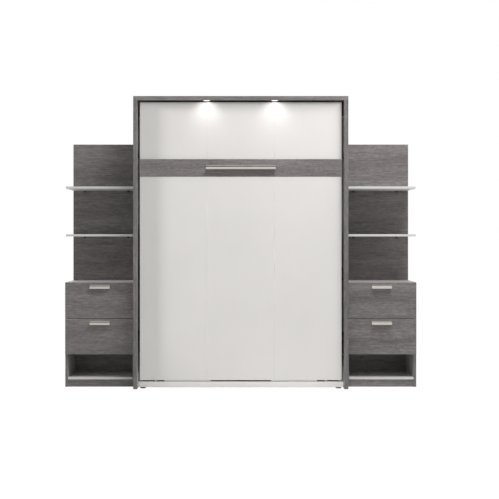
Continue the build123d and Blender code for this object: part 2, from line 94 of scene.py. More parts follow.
class Finish:  # a material, or another node tree, that is built node by node
    def __init__(self, name, tree=None):
        self.material = None
        if tree is None:
            self.material = bpy.data.materials.new(name)
            self.material.use_nodes = True
            tree = self.material.node_tree
        self.nodes = tree.nodes
        self.links = tree.links
        self.nodes.clear()
        self.object = self.node("TexCoord", out="Object")

    def node(self, kind, settings=None, sockets=None, out=0):
        made = self.nodes.new("ShaderNode" + kind)
        for key, value in (settings or {}).items():
            if key == "stops":
                self.setStops(made.color_ramp.elements, value)
            else:
                setattr(made, key, value)
        for key, value in (sockets or {}).items():
            if isinstance(value, Value):
                self.links.new(value.socket, made.inputs[key])
            else:
                made.inputs[key].default_value = value
        return Value(self, made.outputs[out])

    def setStops(self, elements, stops):
        while len(elements) < len(stops):
            elements.new(1)
        for element, (place, colour) in zip(elements, stops):
            element.position = place
            element.color = (*colour, 1)

    def place(self, scale=(1, 1, 1), shift=(0, 0, 0), turn=(0, 0, 0)):
        sockets = {"Vector": self.object, "Location": shift, "Rotation": turn, "Scale": scale}
        return self.node("Mapping", {}, sockets)

    def noise(self, place, scale=1.0, detail=2.0, rough=0.5):
        sockets = {"Vector": place, "Scale": scale, "Detail": detail, "Roughness": rough}
        return self.node("TexNoise", {}, sockets)

    def axis(self, letter, place=None):
        return self.node("SeparateXYZ", {}, {"Vector": place or self.object}, letter)

    def ramp(self, value, *stops):
        return self.node("ValToRGB", {"stops": stops}, {"Fac": value})

    def blend(self, share, low, high):
        sockets = {0: share, 6: low, 7: high}
        return self.node("Mix", {"data_type": "RGBA"}, sockets, 2)

    def surface(self, height=None, depth=0.0001, **sockets):
        inputs = {key.replace("_", " "): value for key, value in sockets.items()}
        if height is not None:
            inputs["Normal"] = self.node("Bump", {}, {"Height": height, "Distance": depth})
        return self.output(self.node("BsdfPrincipled", {}, inputs))

    def output(self, shader, kind="Material"):
        out = self.nodes.new("ShaderNodeOutput" + kind)
        self.links.new(shader.socket, out.inputs["Surface"])
        return self.material


def colour(red, green, blue):
    return (red, green, blue, 1)


def toned(tint, share):  # a tint made lighter or darker
    return colour(*(min(c * share, 1) for c in tint))


woodLook = {
    "dark": (0.100, 0.089, 0.088),
    "middle": (0.188, 0.170, 0.167),
    "pale": (0.320, 0.298, 0.290),
    "pore": (0.048, 0.043, 0.043),
    "poreAlong": 22.0,
    "poreAcross": 480.0,
    "poreDark": 0.55,
    "relief": 0.00035,
    "roughness": 0.52,
    "fuzz": 0.45,
}
woodGrain = {  # scale along the grain, scale across it, detail, roughness, share in the tone
    "bands": (1.4, 13.0, 3, 0.5, 0.85),
    "streaks": (9.0, 150.0, 5, 0.62, 0.95),
    "mottle": (34.0, 105.0, 4, 0.6, 0.8),
    "fibres": (55.0, 900.0, 2, 0.5, 0.5),
    "saw": (620.0, 38.0, 3, 0.5, 0.42),
}


def greyWood(name, along, shift=(0, 0, 0)):  # weathered grey laminate, its grain along one axis
    w = woodLook
    f = Finish(name)

    def grain(lengthwise, crosswise):
        scale = [crosswise] * 3
        scale["XYZ".index(along)] = lengthwise
        return f.place(scale, [s * k for s, k in zip(shift, scale)])

    layers = {}
    tone = 0.5
    for layer, (lengthwise, crosswise, detail, rough, share) in woodGrain.items():
        layers[layer] = f.noise(grain(lengthwise, crosswise), 1, detail, rough) - 0.5
        tone = layers[layer] * share + tone
    pores = f.noise(grain(w["poreAlong"], w["poreAcross"]), 1, 2).clip(0.6, 0.72)
    wood = f.ramp(tone, (0.12, w["dark"]), (0.5, w["middle"]), (0.9, w["pale"]))
    wood = f.blend(pores * w["poreDark"], wood, colour(*w["pore"]))
    relief = layers["streaks"] * 0.5 + layers["fibres"] * 0.6 + layers["saw"] * 0.5 - pores * 0.9
    gloss = layers["streaks"] * -0.12 + pores * 0.2 + w["roughness"]
    return f.surface(relief, w["relief"], Base_Color=wood, Roughness=gloss, Sheen_Weight=w["fuzz"])


def whiteLaminate(name, tint, roughness, seam=None):  # white melamine with a faint pearl emboss
    f = Finish(name)
    cloud = f.noise(f.object, 2.6, 3)
    pearl = f.noise(f.object, 1300, 1)
    board = f.blend(cloud.clip(0.3, 0.7), toned(tint, 0.982), toned(tint, 1.018))
    if seam:  # painted shade on the bare edges that face each other across a joint
        middle = sum(seam) / 2
        half = (seam[1] - seam[0]) / 2
        inside = abs(abs(f.axis("X")) - middle).clip(half * 1.4, half * 1.1)
        board = f.blend(inside, board, colour(*seamShade))
    gloss = (cloud - 0.5) * 0.06 + (pearl - 0.5) * 0.08 + roughness
    return f.surface(pearl, 0.00003, Base_Color=board, Roughness=gloss)


def linenMelamine(name):  # drawer boxes: off-white board with a fine linen print
    f = Finish(name)
    warp = f.noise(f.place((900, 900, 40)), 1, 2)
    weft = f.noise(f.place((40, 900, 900)), 1, 2)
    threads = warp * 0.5 + weft * 0.5
    linen = f.ramp(threads, (0.3, (0.60, 0.59, 0.565)), (0.7, (0.78, 0.77, 0.745)))
    return f.surface(threads, 0.00004, Base_Color=linen, Roughness=threads * 0.2 + 0.4)


def brushedMetal(name, tint, roughness, along="X", depth=0.00002, paintedTopShade=1.0, paintedChannelShade=None):
    f = Finish(name)
    scale = [2400, 2400, 2400]
    scale["XYZ".index(along)] = 9
    lines = f.noise(f.place(scale), 1, 3)
    smear = f.noise(f.object, 14, 3)
    metal = f.blend(lines.clip(0.25, 0.75), toned(tint, 0.86), colour(*tint))
    gloss = (lines - 0.5) * 0.16 + (smear - 0.5) * 0.10 + roughness
    if paintedTopShade < 1:  # painted shade: the faces that look up are darkened
        facing = f.axis("Z", f.node("TexCoord", out="Normal")).clip(0.0, 0.9)
        metal = f.blend(facing, metal, toned(tint, paintedTopShade))
    if paintedChannelShade:  # painted shade back in the channel of the long pull, darker with depth
        front, back = paintedChannelShade
        behind = f.ramp((f.axis("Y") - front) / (back - front), *pullChannelShade)
        multiply = {"data_type": "RGBA", "blend_type": "MULTIPLY"}
        metal = f.node("Mix", multiply, {0: 1.0, 6: metal, 7: behind}, 2)
    return f.surface(lines, depth, Base_Color=metal, Roughness=gloss, Metallic=1.0)


def zincPlate(name, casts, mattness=0.24):  # plated steel: blotchy, with a cool and a straw cast
    f = Finish(name)
    blotch = f.noise(f.object, 55, 4)
    grit = f.noise(f.object, 700, 2)
    cast = f.ramp(blotch, *zip((0.3, 0.55, 0.75), casts))
    gloss = blotch * 0.22 + grit * 0.1 + mattness
    return f.surface(grit, 0.00002, Base_Color=cast, Roughness=gloss, Metallic=0.95)


def powderCoat(name, tint, roughness, peel=420.0):  # enamelled steel with orange peel
    f = Finish(name)
    skin = f.noise(f.object, peel, 2)
    drift = f.noise(f.object, 6, 2)
    paint = f.blend((drift * 0.6 + skin * 0.4).clip(0.3, 0.7), toned(tint, 0.92), toned(tint, 1.07))
    return f.surface(skin, 0.00006, Base_Color=paint, Roughness=(skin - 0.5) * 0.2 + roughness)


def mouldedPlastic(name, tint, roughness):  # spark-eroded moulding texture
    f = Finish(name)
    grit = f.noise(f.object, 1500, 2)
    scuff = f.noise(f.object, 60, 4).clip(0.55, 0.8)
    worn = tuple(c * 1.5 + 0.01 for c in tint)
    body = f.blend(scuff * 0.35 + (grit - 0.5) * 0.2, colour(*tint), colour(*worn))
    return f.surface(grit, 0.00004, Base_Color=body, Roughness=scuff * 0.12 + roughness)


def birch(name):  # birch ply slats: pale, long figure and short pin flecks
    f = Finish(name)
    figure = f.noise(f.place((2.2, 34, 34)), 1, 4, 0.6)
    grain = f.noise(f.place((16, 520, 520)), 1, 3)
    fleck = f.noise(f.place((70, 700, 700)), 1, 1).clip(0.64, 0.74)
    plies = (f.axis("Y") * 2400).math("SINE") * 0.5 + 0.5
    tone = figure * 0.75 + grain * 0.25 + plies * 0.03
    dark, middle, pale = (0.50, 0.345, 0.20), (0.64, 0.475, 0.30), (0.72, 0.565, 0.385)
    wood = f.ramp(tone, (0.3, dark), (0.5, middle), (0.72, pale))
    wood = f.blend(fleck * 0.5, wood, colour(0.36, 0.22, 0.115))
    return f.surface(grain - fleck, 0.00009, Base_Color=wood, Roughness=grain * 0.2 + 0.4)


def glowingLens(name):  # frosted lens of a lit puck light
    f = Finish(name)
    grain = f.noise(f.object, 900, 2)
    glow = f.ramp(grain, (0.3, (0.93, 0.93, 0.92)), (0.7, (1.0, 0.99, 0.97)))
    return f.surface(
        grain, 0.00003, Base_Color=glow, Emission_Color=glow, Emission_Strength=1.1, Roughness=0.35
    )


def knitCloth(name, tint, shadow, rib=0.0):  # damask knit, with painted shade down in the stitched lines
    f = Finish(name)
    sunk = f.node("Attribute", {"attribute_name": "stitch"}, out="Fac")
    courses = (f.axis("Z") * 1500).math("SINE")
    wales = (f.axis("X") * 1300 + f.axis("Y") * 1300).math("SINE")
    loops = courses * wales * 0.5 + 0.5
    fuzz = f.noise(f.object, 240, 4, 0.65)
    wash = f.noise(f.object, 5, 3)
    tone = loops * 0.22 + fuzz * 0.45 + wash * 0.33
    if rib:
        ribs = (f.axis("X") * rib + f.axis("Z") * rib).math("SINE") * 0.5 + 0.5
        tone = tone * 0.7 + ribs * 0.3
    cloth = f.blend(tone.clip(0.25, 0.75), colour(*shadow), colour(*tint))
    # painted shade in the stitched creases
    cloth = f.blend(sunk ** 2 * 0.6, cloth, toned(shadow, 0.62))
    return f.surface(
        tone - sunk, 0.0006, Base_Color=cloth, Roughness=0.9 - fuzz * 0.12, Sheen_Weight=0.15,
        Sheen_Roughness=0.5, Specular_IOR_Level=0.2,
    )


def webbing(name, tint, shadow):  # flat woven strap: cross ribs and edge cords
    f = Finish(name)
    ribs = (f.axis("Z") * 2600).math("SINE") * (f.axis("X") * 1800).math("SINE") * 0.5 + 0.5
    fuzz = f.noise(f.object, 500, 3)
    tone = ribs * 0.6 + fuzz * 0.4
    cloth = f.blend(tone.clip(0.25, 0.8), colour(*shadow), colour(*tint))
    return f.surface(tone, 0.0003, Base_Color=cloth, Roughness=0.82, Sheen_Weight=0.2)


pullChannelShade = (  # painted shade: how the long pull's metal darkens from its lip back to the band
    (0.30, (1.0, 1.0, 1.0)),
    (0.62, (0.92, 0.92, 0.92)),
    (0.84, (0.88, 0.88, 0.88)),
    (0.88, (0.14, 0.14, 0.14)),
)
white = (0.785, 0.763, 0.743)
nickel = (0.60, 0.565, 0.525)
# painted shade in the joints between the face panels
seamShade = (0.245, 0.242, 0.237)
brightZinc = ((0.50, 0.51, 0.53), (0.62, 0.62, 0.61), (0.60, 0.57, 0.50))
darkZinc = ((0.045, 0.046, 0.05), (0.07, 0.07, 0.072), (0.075, 0.07, 0.06))
faceSeam = (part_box("face_panel_middle")[1].x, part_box("face_panel_right")[0].x)
pullChannel = (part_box("bed_pull")[0].y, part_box("bed_pull")[1].y)
finishes = {
    "woodAcross": greyWood("greyWoodAcross", "X"),
    # the upright boards' place in the sheet is picked for their tone, partly grain and partly painted shade
    "woodUpright": greyWood("greyWoodUpright", "Z", (1.31, 0.57, 0.4)),
    "whiteFace": whiteLaminate("whiteFaceLaminate", white, 0.34, faceSeam),
    "whiteKick": whiteLaminate("whiteKickLaminate", white, 0.34),
    "whiteBoard": whiteLaminate("whiteBoardLaminate", (0.78, 0.775, 0.765), 0.42),
    "drawerWhite": linenMelamine("drawerLinenMelamine"),
    # painted shade: both nickel finishes darken the faces that look up
    "nickelPull": brushedMetal("satinNickelPull", nickel, 0.30, paintedTopShade=0.55, paintedChannelShade=pullChannel),
    "nickel": brushedMetal("satinNickel", nickel, 0.30, paintedTopShade=0.55),
    "zinc": zincPlate("zincPlatedSteel", brightZinc),
    "blackZinc": zincPlate("blackZincSteel", darkZinc, 0.4),
    "frameGrey": powderCoat("framePowderCoat", (0.30, 0.305, 0.315), 0.44),
    "legBlack": powderCoat("legPowderCoat", (0.028, 0.028, 0.030), 0.40),
    "strutBlack": powderCoat("strutEnamel", (0.018, 0.018, 0.019), 0.28, 260.0),
    "chrome": brushedMetal("strutChrome", (0.82, 0.82, 0.83), 0.10, "Z", 0.000004),
    "nylon": mouldedPlastic("glideNylon", (0.022, 0.022, 0.023), 0.46),
    "plastic": mouldedPlastic("housingPlastic", (0.020, 0.020, 0.021), 0.38),
    "support": mouldedPlastic("supportPlastic", (0.016, 0.016, 0.017), 0.42),
    "birch": birch("birchSlat"),
    "lens": glowingLens("lightLens"),
    "cloth": knitCloth("mattressKnit", (0.82, 0.81, 0.785), (0.62, 0.61, 0.59)),
    "border": knitCloth("mattressBorder", (0.56, 0.565, 0.575), (0.40, 0.405, 0.415), 420.0),
    "tape": webbing("mattressTape", (0.42, 0.425, 0.44), (0.30, 0.30, 0.315)),
    "strap": webbing("strapWebbing", (0.075, 0.078, 0.085), (0.035, 0.036, 0.040)),
}
print("finishes made:", len(finishes))

# each board of the same laminate is cut from another place of the sheet; the places are picked so that some
# boards come out darker or lighter, partly grain and partly painted shade
boardShift = {
    "unit_left_tower": (0.9, 0, 0.31),
    "unit_right_tower": (-2.3, 0, 2.11),
    "drawer_left_upper_front": (1.7, 0, 0.12),
    "drawer_left_lower_front": (2.9, 0, 0.47),
    "drawer_right_upper_front": (-1.3, 0, 0.66),
    "drawer_right_lower_front": (-6.4, 0, 1.77),
    "face_band": (7.9, 0, 2.47),
}
slotFinish = {
    "grey_wood": "woodAcross",
    "white_board": "whiteBoard",
    "drawer_white": "drawerWhite",
    "satin_nickel": "nickel",
    "black_plastic": "plastic",
    "black_nylon": "nylon",
    "light_lens": "lens",
    "zinc_steel": "zinc",
    "frame_grey": "frameGrey",
    "slat_birch": "birch",
    "mattress_cloth": "cloth",
    "leg_black": "legBlack",
    "support_black": "support",
    "strut_black": "strutBlack",
    "strut_chrome": "chrome",
}


def finishNodes():  # every node of the model gets the finish of its slot, or its own
    for part in frame["record"]["subparts"]:
        name = part["node"]
        key = slotFinish[part["material_slot"]]
        if name.startswith("gable_") or name.endswith("_sides"):
            key = "woodUpright"
        if name.startswith("face_panel_"):
            key = "whiteFace"
        if name == "kick_panel":
            key = "whiteKick"
        if name in ("pivot_plates", "strut_anchors"):
            key = "blackZinc"
        if name == "bed_pull":
            key = "nickelPull"
        made = finishes[key]
        if name in boardShift:
            made = greyWood("greyWood_" + name, "X", boardShift[name])
        mesh = nodes[name].data
        mesh.materials.clear()
        mesh.materials.append(made)


finishNodes()
print("nodes finished")


def linked(name, bm, made):  # a finished bmesh becomes an object of the scene
    mesh = bpy.data.meshes.new(name)
    bm.to_mesh(mesh)
    bm.free()
    mesh.materials.append(made)
    thing = bpy.data.objects.new(name, mesh)
    scene.collection.objects.link(thing)
    return thing


def withBmesh(name, bm, made, body):  # a finished bmesh becomes a piece that rides on a body
    piece = linked(name, bm, made)
    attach(piece, body)
    return piece


def smoothed(piece, angle=35.0):
    piece.data.shade_smooth()
    piece.data.set_sharp_from_angle(angle=radians(angle))
    return piece


def boxInto(bm, low, high):  # a block between two corners, and its vertices
    low, high = Vector(low), Vector(high)
    size = high - low
    place = Matrix.Translation((low + high) / 2) @ Matrix.Diagonal((*size, 1))
    return bmesh.ops.create_cube(bm, size=1, matrix=place)["verts"]


def everythingIn(bm):
    return bm.verts[:] + bm.edges[:] + bm.faces[:]


def edgesAlong(edges, axis):  # the edges that run along X, Y or Z: 0, 1 or 2
    found = []
    for edge in edges:
        way = (edge.verts[0].co - edge.verts[1].co).normalized()
        if abs(way[axis]) > 0.99:
            found.append(edge)
    return found


def span(edge, reach):  # both ends of a run that starts at an edge, the lower one first
    return sorted((edge, edge + reach))


def rounded(bm, edges, offset, segments):
    return bmesh.ops.bevel(
        bm, geom=edges, offset=offset, offset_type="OFFSET", affect="EDGES",
        segments=segments, profile=0.5, material=-1, clamp_overlap=True,
    )


def edgesOf(verts):
    return list({edge for vert in verts for edge in vert.link_edges})


def softBlock(bm, low, high, corner, segments=4):  # a block whose edges along Y are rounded in plan
    verts = boxInto(bm, low, high)
    rounded(bm, edgesAlong(edgesOf(verts), 1), corner, segments)


def addPart(bm, part, place=None):  # puts a small finished bmesh into a larger one
    bmesh.ops.remove_doubles(part, verts=part.verts[:], dist=1e-6)
    bmesh.ops.recalc_face_normals(part, faces=part.faces[:])
    if place:
        bmesh.ops.transform(part, matrix=place, verts=part.verts[:])
    shell = bpy.data.meshes.new("shell")
    part.to_mesh(shell)
    part.free()
    bm.from_mesh(shell)
    bpy.data.meshes.remove(shell)


def turned(profile, steps=28):  # a profile of (radius, height) turned about Z
    part = bmesh.new()
    verts = [part.verts.new((radius, 0, height)) for radius, height in profile]
    edges = [part.edges.new(pair) for pair in zip(verts, verts[1:])]
    bmesh.ops.spin(
        part, geom=verts + edges, axis=(0, 0, 1), cent=(0, 0, 0), angle=tau, steps=steps, use_merge=True
    )
    return part


# turns that point a part made along Z another way
towardX = Matrix.Rotation(pi / 2, 4, "Y")
towardMinusX = Matrix.Rotation(-pi / 2, 4, "Y")
towardFront = Matrix.Rotation(pi / 2, 4, "X")
towardBack = Matrix.Rotation(-pi / 2, 4, "X")


def boltHead(radius, height):  # domed head with a hexagon socket
    socket = radius * 0.52
    part = turned([
        (radius, 0), (radius, height * 0.3), (radius * 0.9, height * 0.72),
        (radius * 0.72, height * 0.95), (socket * 1.08, height),
    ], 18)
    rim = [e for e in part.edges if e.is_boundary and e.verts[0].co.z > height * 0.99]
    floor = bmesh.ops.create_circle(part, segments=6, radius=socket * 0.92, cap_ends=True)["verts"]
    bmesh.ops.translate(part, verts=floor, vec=(0, 0, height * 0.4))
    walls = [e for e in edgesOf(floor) if len(e.link_faces) == 1]
    bmesh.ops.bridge_loops(part, edges=rim + walls)
    return part


mattressLook = {
    "inset": 0.009,
    "corner": 0.050,
    "cellsAcross": 72,
    "cellsAlong": 96,
    "cellsDeep": 12,
    "diamond": 8,
    "borderRow": 4,
    "cap": 0.0085,
    "frames": 14,
    "puff": 0.0065,
    "tapeHeight": 0.011,
    "tapeProud": 0.0045,
    "tapeDeep": 0.012,
}
fabric = {
    "quality": 4,
    "mass": 0.25,
    "tension_stiffness": 8,
    "compression_stiffness": 8,
    "shear_stiffness": 4,
    "bending_stiffness": 0.4,
    "use_pressure": True,
    "uniform_pressure_force": 8.5,
}


def cutAt(bm, axis, places):  # new edges across the whole mesh at these places along an axis
    way = Vector((0, 0, 0))
    way[axis] = 1
    for place in places:
        geom = everythingIn(bm)
        bmesh.ops.bisect_plane(bm, geom=geom, dist=1e-6, plane_co=way * place, plane_no=way)


def steps(low, high, count):  # the places that divide a length into so many parts
    return [low + (high - low) * n / count for n in range(1, count)]


def onStitch(co, low, cell):  # True on the diamond stitching of the two panels
    look = mattressLook
    u = round((co.x - low.x) / cell.x)
    v = round((co.z - low.z) / cell.z)
    near = abs(co.x - low.x - u * cell.x) + abs(co.z - low.z - v * cell.z) < 1e-4
    return near and ((u + v) % look["diamond"] == 0 or (u - v) % look["diamond"] == 0)


def blownUp(piece, held):  # cloth under pressure between its stitches
    look = mattressLook
    mesh = piece.data
    start = [vert.co.copy() for vert in mesh.vertices]
    group = piece.vertex_groups.new(name="stitches")
    group.add(held, 1.0, "REPLACE")
    cloth = piece.modifiers.new("cloth", "CLOTH")
    for key, value in fabric.items():
        setattr(cloth.settings, key, value)
    cloth.settings.vertex_group_mass = group.name
    cloth.settings.effector_weights.gravity = 0
    cloth.collision_settings.use_collision = False
    for n in range(1, look["frames"] + 1):
        scene.frame_set(n)
    blown = piece.evaluated_get(bpy.context.evaluated_depsgraph_get()).to_mesh()
    ends = [vert.co.copy() for vert in blown.vertices]
    piece.modifiers.remove(cloth)
    piece.vertex_groups.remove(group)
    for n, end in enumerate(ends):
        move = end - start[n]
        if move.length > look["cap"]:
            move = move.normalized() * look["cap"]
        mesh.vertices[n].co = start[n] + move


def makeMattress():  # quilted cover over the whole mattress; gives back its two corners
    look = mattressLook
    low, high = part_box("mattress")
    gap = Vector((look["inset"],) * 3)
    low, high = low + gap, high - gap
    cell = Vector(((high.x - low.x) / look["cellsAcross"], 0, (high.z - low.z) / look["cellsAlong"]))
    bm = bmesh.new()
    softBlock(bm, low, high, look["corner"], 6)
    for axis, count in ((0, look["cellsAcross"]), (2, look["cellsAlong"]), (1, look["cellsDeep"])):
        cutAt(bm, axis, steps(low[axis], high[axis], count))
    bm.verts.ensure_lookup_table()
    bm.normal_update()
    held = []
    row = (high.y - low.y) / look["cellsDeep"]
    for vert in bm.verts:
        onPanel = min(vert.co.y - low.y, high.y - vert.co.y) < 1e-5
        onBorder = any(abs(face.normal.y) < 0.5 for face in vert.link_faces)
        if onPanel and onBorder:
            held.append(vert.index)
        elif onPanel and onStitch(vert.co, low, cell):
            held.append(vert.index)
        elif onBorder and round((vert.co.y - low.y) / row) % look["borderRow"] == 0:
            held.append(vert.index)
    for face in bm.faces:
        face.material_index = 1 if abs(face.normal.y) < 0.5 else 0
    bmesh.ops.connect_verts(bm, verts=[bm.verts[n] for n in held if abs(bm.verts[n].normal.y) > 0.9])
    piece = withBmesh("mattress_cover", bm, finishes["cloth"], "bed")
    piece.data.materials.append(finishes["border"])
    stitch = piece.data.attributes.new("stitch", "FLOAT", "POINT")
    for n in held:
        stitch.data[n].value = 1.0
    blownUp(piece, held)
    piece.data.shade_smooth()
    subdivide = piece.modifiers.new("smooth", "SUBSURF")
    subdivide.levels = subdivide.render_levels = 1
    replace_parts(piece, "mattress")
    return low, high


def makeTape(low, high):  # the sewn tape that binds panel to border round both rims
    look = mattressLook
    bm = bmesh.new()
    proud = Vector((look["tapeProud"], 0, look["tapeProud"]))
    for near, far in (span(low.y, look["tapeHeight"]), span(high.y, -look["tapeHeight"])):
        ring = bmesh.new()
        start = Vector((low.x, near, low.z)) - proud
        end = Vector((high.x, far, high.z)) + proud
        softBlock(ring, start, end, look["corner"] + look["tapeProud"], 8)
        caps = [face for face in ring.faces if abs(face.normal.y) > 0.9]
        bmesh.ops.inset_individual(ring, faces=caps, thickness=look["tapeDeep"], depth=0)
        bmesh.ops.delete(ring, geom=caps, context="FACES_ONLY")
        loops = [edge for edge in ring.edges if edge.is_boundary]
        bmesh.ops.bridge_loops(ring, edges=loops)
        rims = [e for e in ring.edges if len(e.link_faces) == 2 and e.calc_face_angle() > 1.2]
        rounded(ring, rims, look["tapeHeight"] * 0.42, 4)
        addPart(bm, ring)
    smoothed(withBmesh("mattress_tape", bm, finishes["tape"], "bed"), 50)


coverBox = makeMattress()
makeTape(*coverBox)
print("mattress made")

handleLook = {
    "heights": (0.30, 0.74),
    "length": 0.20,
    "width": 0.034,
    "thickness": 0.0024,
    "bow": 0.0075,
    "proud": 0.004,
    "patch": 0.030,
    "sections": 16,
}
ventLook = {
    "radius": 0.011,
    "proud": 0.0045,
    "heights": (0.18, 0.52, 0.86),
    "profile": [  # share of the radius, and height
        (0.38, -0.001), (0.42, 0.0008), (0.62, 0.0022), (0.86, 0.0018), (1, 0.0002), (1, -0.001),
    ],
}


def makeHandles(low, high):  # webbing handles sewn to both long borders, bowed out a little
    look = handleLook
    bm = bmesh.new()
    middle = (low.y + high.y) / 2
    half = look["length"] / 2
    for side in (-1, 1):
        wall = high.x if side > 0 else low.x
        for share in look["heights"]:
            centre = low.z + (high.z - low.z) * share
            part = bmesh.new()
            start = Vector((wall, middle - look["width"] / 2, centre - half))
            size = Vector((side * look["thickness"], look["width"], look["length"]))
            boxInto(part, start, start + size)
            cutAt(part, 2, steps(centre - half, centre + half, look["sections"]))
            for vert in part.verts:
                away = abs(vert.co.z - centre) / (half - look["patch"])
                lift = look["bow"] * (1 + cos(pi * min(away, 1))) / 2
                vert.co.x += side * (lift + look["proud"])
            rounded(part, edgesAlong(part.edges, 2), look["thickness"] * 0.3, 2)
            addPart(bm, part)
    smoothed(withBmesh("mattress_handles", bm, finishes["tape"], "bed"), 45)


def makeVents(low, high):  # ringed air vents in the borders
    look = ventLook
    bm = bmesh.new()
    profile = [(look["radius"] * share, height) for share, height in look["profile"]]
    middle = (low.y + high.y) / 2
    for side, turn in ((-1, towardMinusX), (1, towardX)):
        wall = high.x if side > 0 else low.x
        for share in look["heights"]:
            at = Vector((wall + side * look["proud"], middle, low.z + (high.z - low.z) * share))
            addPart(bm, turned(profile, 24), Matrix.Translation(at) @ turn)
    smoothed(withBmesh("mattress_vents", bm, finishes["zinc"], "bed"))


makeHandles(*coverBox)
makeVents(*coverBox)

strapLook = {
    "heights": (1.02, 1.72),
    "width": 0.048,
    "thickness": 0.0018,
    "clear": 0.0012,
    "corner": 0.034,
    "cornerSteps": 8,
    "beforeSlats": 0.030,
    "plateBeforeSlats": 0.034,
    "plateWidth": 0.060,
    "plateDepth": 0.013,
    "plateProud": 0.0022,
    "plateCorner": 0.004,
    "screwSpread": 0.040,
    "screwRadius": 0.0034,
    "screwHeight": 0.0016,
}


def strapPath(inner, front, back, corner):  # half of the loop, from the rail round to the middle
    look = strapLook
    path = [(inner, front), (inner, back - corner)]
    for n in range(1, look["cornerSteps"] + 1):
        turn = pi / 2 * n / look["cornerSteps"]
        path.append((inner - corner * (1 - cos(turn)), back - corner * (1 - sin(turn))))
    path.append((0.0, back))
    return path


def makeStraps():  # two elastic straps that hold the mattress down, hooked to the side rails
    look = strapLook
    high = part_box("mattress")[1]
    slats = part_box("slats")[0].y
    bm = bmesh.new()
    plates = bmesh.new()
    inner = high.x + look["clear"]
    path = strapPath(inner, slats - look["beforeSlats"], high.y + look["clear"] * 2, look["corner"])
    for height in look["heights"]:
        part = bmesh.new()
        verts = [part.verts.new((x, y, height - look["width"] / 2)) for x, y in path]
        edges = [part.edges.new(pair) for pair in zip(verts, verts[1:])]
        grown = bmesh.ops.extrude_edge_only(part, edges=edges)["geom"]
        moved = [g for g in grown if isinstance(g, bmesh.types.BMVert)]
        bmesh.ops.translate(part, verts=moved, vec=(0, 0, look["width"]))
        bmesh.ops.mirror(part, geom=everythingIn(part), axis="X", merge_dist=1e-5)
        bmesh.ops.remove_doubles(part, verts=part.verts[:], dist=1e-5)
        bmesh.ops.recalc_face_normals(part, faces=part.faces[:])
        across = [face.normal.y for face in part.faces if face.calc_center_median().y > high.y]
        if sum(across) < 0:
            bmesh.ops.reverse_faces(part, faces=part.faces[:])
        bmesh.ops.solidify(part, geom=part.faces[:], thickness=-look["thickness"])
        addPart(bm, part)
        low = height - look["plateWidth"] / 2
        proud = look["thickness"] + look["plateProud"]
        for side, turn in ((-1, towardMinusX), (1, towardX)):
            start = Vector((side * inner, slats - look["plateBeforeSlats"], low))
            end = start + Vector((side * proud, look["plateDepth"], look["plateWidth"]))
            hook = bmesh.new()
            verts = boxInto(hook, start, end)
            rounded(hook, edgesAlong(edgesOf(verts), 0), look["plateCorner"], 3)
            addPart(plates, hook)
            for shift in (-look["screwSpread"] / 2, look["screwSpread"] / 2):
                at = Vector((end.x, (start.y + end.y) / 2, height + shift))
                head = boltHead(look["screwRadius"], look["screwHeight"])
                addPart(plates, head, Matrix.Translation(at) @ turn)
    smoothed(withBmesh("mattress_straps", bm, finishes["strap"], "bed"), 60)
    smoothed(withBmesh("strap_plates", plates, finishes["zinc"], "bed"))


makeStraps()
print("handles, vents and straps made")

puckLook = {  # each profile is (radius, height) from the panel's underside
    "ring": [
        (0.0, 0.0120), (0.0276, 0.0120), (0.0280, 0.0116), (0.0280, 0.0), (0.0315, 0.0), (0.0315, -0.0008),
        (0.0310, -0.0015), (0.0298, -0.0019), (0.0270, -0.0020), (0.0262, -0.0018), (0.0256, -0.0013),
        (0.0256, -0.0006), (0.0, -0.0006),
    ],
    "lens": [
        (0.0, -0.0020), (0.0140, -0.0019), (0.0210, -0.0017), (0.0240, -0.0014), (0.0252, -0.0011),
        (0.0252, -0.0008), (0.0, -0.0008),
    ],
}


def makePucks():  # the two lights under the top panel
    low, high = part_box("led_housings")
    middle = (low.y + high.y) / 2
    reach = ((high.x - low.x) - (high.y - low.y)) / 2
    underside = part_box("top_panel")[0].z
    made = {
        "ring": ("puck_rings", "nickel", "satin_nickel", "led_housings"),
        "lens": ("puck_lenses", "lens", "light_lens", "led_lenses"),
    }
    for part, (name, finish, slot, node) in made.items():
        bm = bmesh.new()
        for side in (-1, 1):
            place = Matrix.Translation((side * reach, middle, underside))
            addPart(bm, turned(puckLook[part], 48), place)
        piece = smoothed(withBmesh(name, bm, finishes[finish], "cabinet"), 40)
        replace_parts(piece, node)


glideLook = {
    "gableInset": 0.040,
    "gableRadius": 0.012,
    "gableHeight": 0.005,
    "kickInset": 0.033,
    "kickRadius": 0.020,
    "kickHeight": 0.007,
}


def glideProfile(radius, height):  # a dished foot on a short stem
    return [
        (0, 0), (radius * 0.86, 0), (radius * 0.96, height * 0.08), (radius, height * 0.26),
        (radius, height * 0.52), (radius * 0.93, height * 0.66), (radius * 0.62, height * 0.74),
        (radius * 0.56, height * 0.82), (radius * 0.56, height), (0, height),
    ]


def makeGlides():  # two under each gable and one under each end of the kick board
    look = glideLook
    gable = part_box("gable_right")
    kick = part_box("kick_panel")
    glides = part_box("glides")
    bm = bmesh.new()
    outer = glides[1].x - look["gableRadius"]
    inner = kick[1].x - look["kickInset"]
    for side in (-1, 1):
        for y in (gable[0].y + look["gableInset"], gable[1].y - look["gableInset"]):
            part = turned(glideProfile(look["gableRadius"], look["gableHeight"]))
            addPart(bm, part, Matrix.Translation((side * outer, y, 0)))
        part = turned(glideProfile(look["kickRadius"], look["kickHeight"]), 36)
        addPart(bm, part, Matrix.Translation((side * inner, (kick[0].y + kick[1].y) / 2, 0)))
    piece = smoothed(withBmesh("glide_feet", bm, finishes["nylon"], "cabinet"), 30)
    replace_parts(piece, "glides")


supportLook = {
    "spacing": 0.320,
    "peg": [
        (0, 0), (0.0070, 0), (0.0070, 0.0022), (0.0058, 0.0030), (0.0058, 0.0180), (0.0064, 0.0186),
        (0.0070, 0.0196), (0.0070, 0.0236), (0.0064, 0.0250), (0.0046, 0.0260), (0, 0.0260),
    ],
}


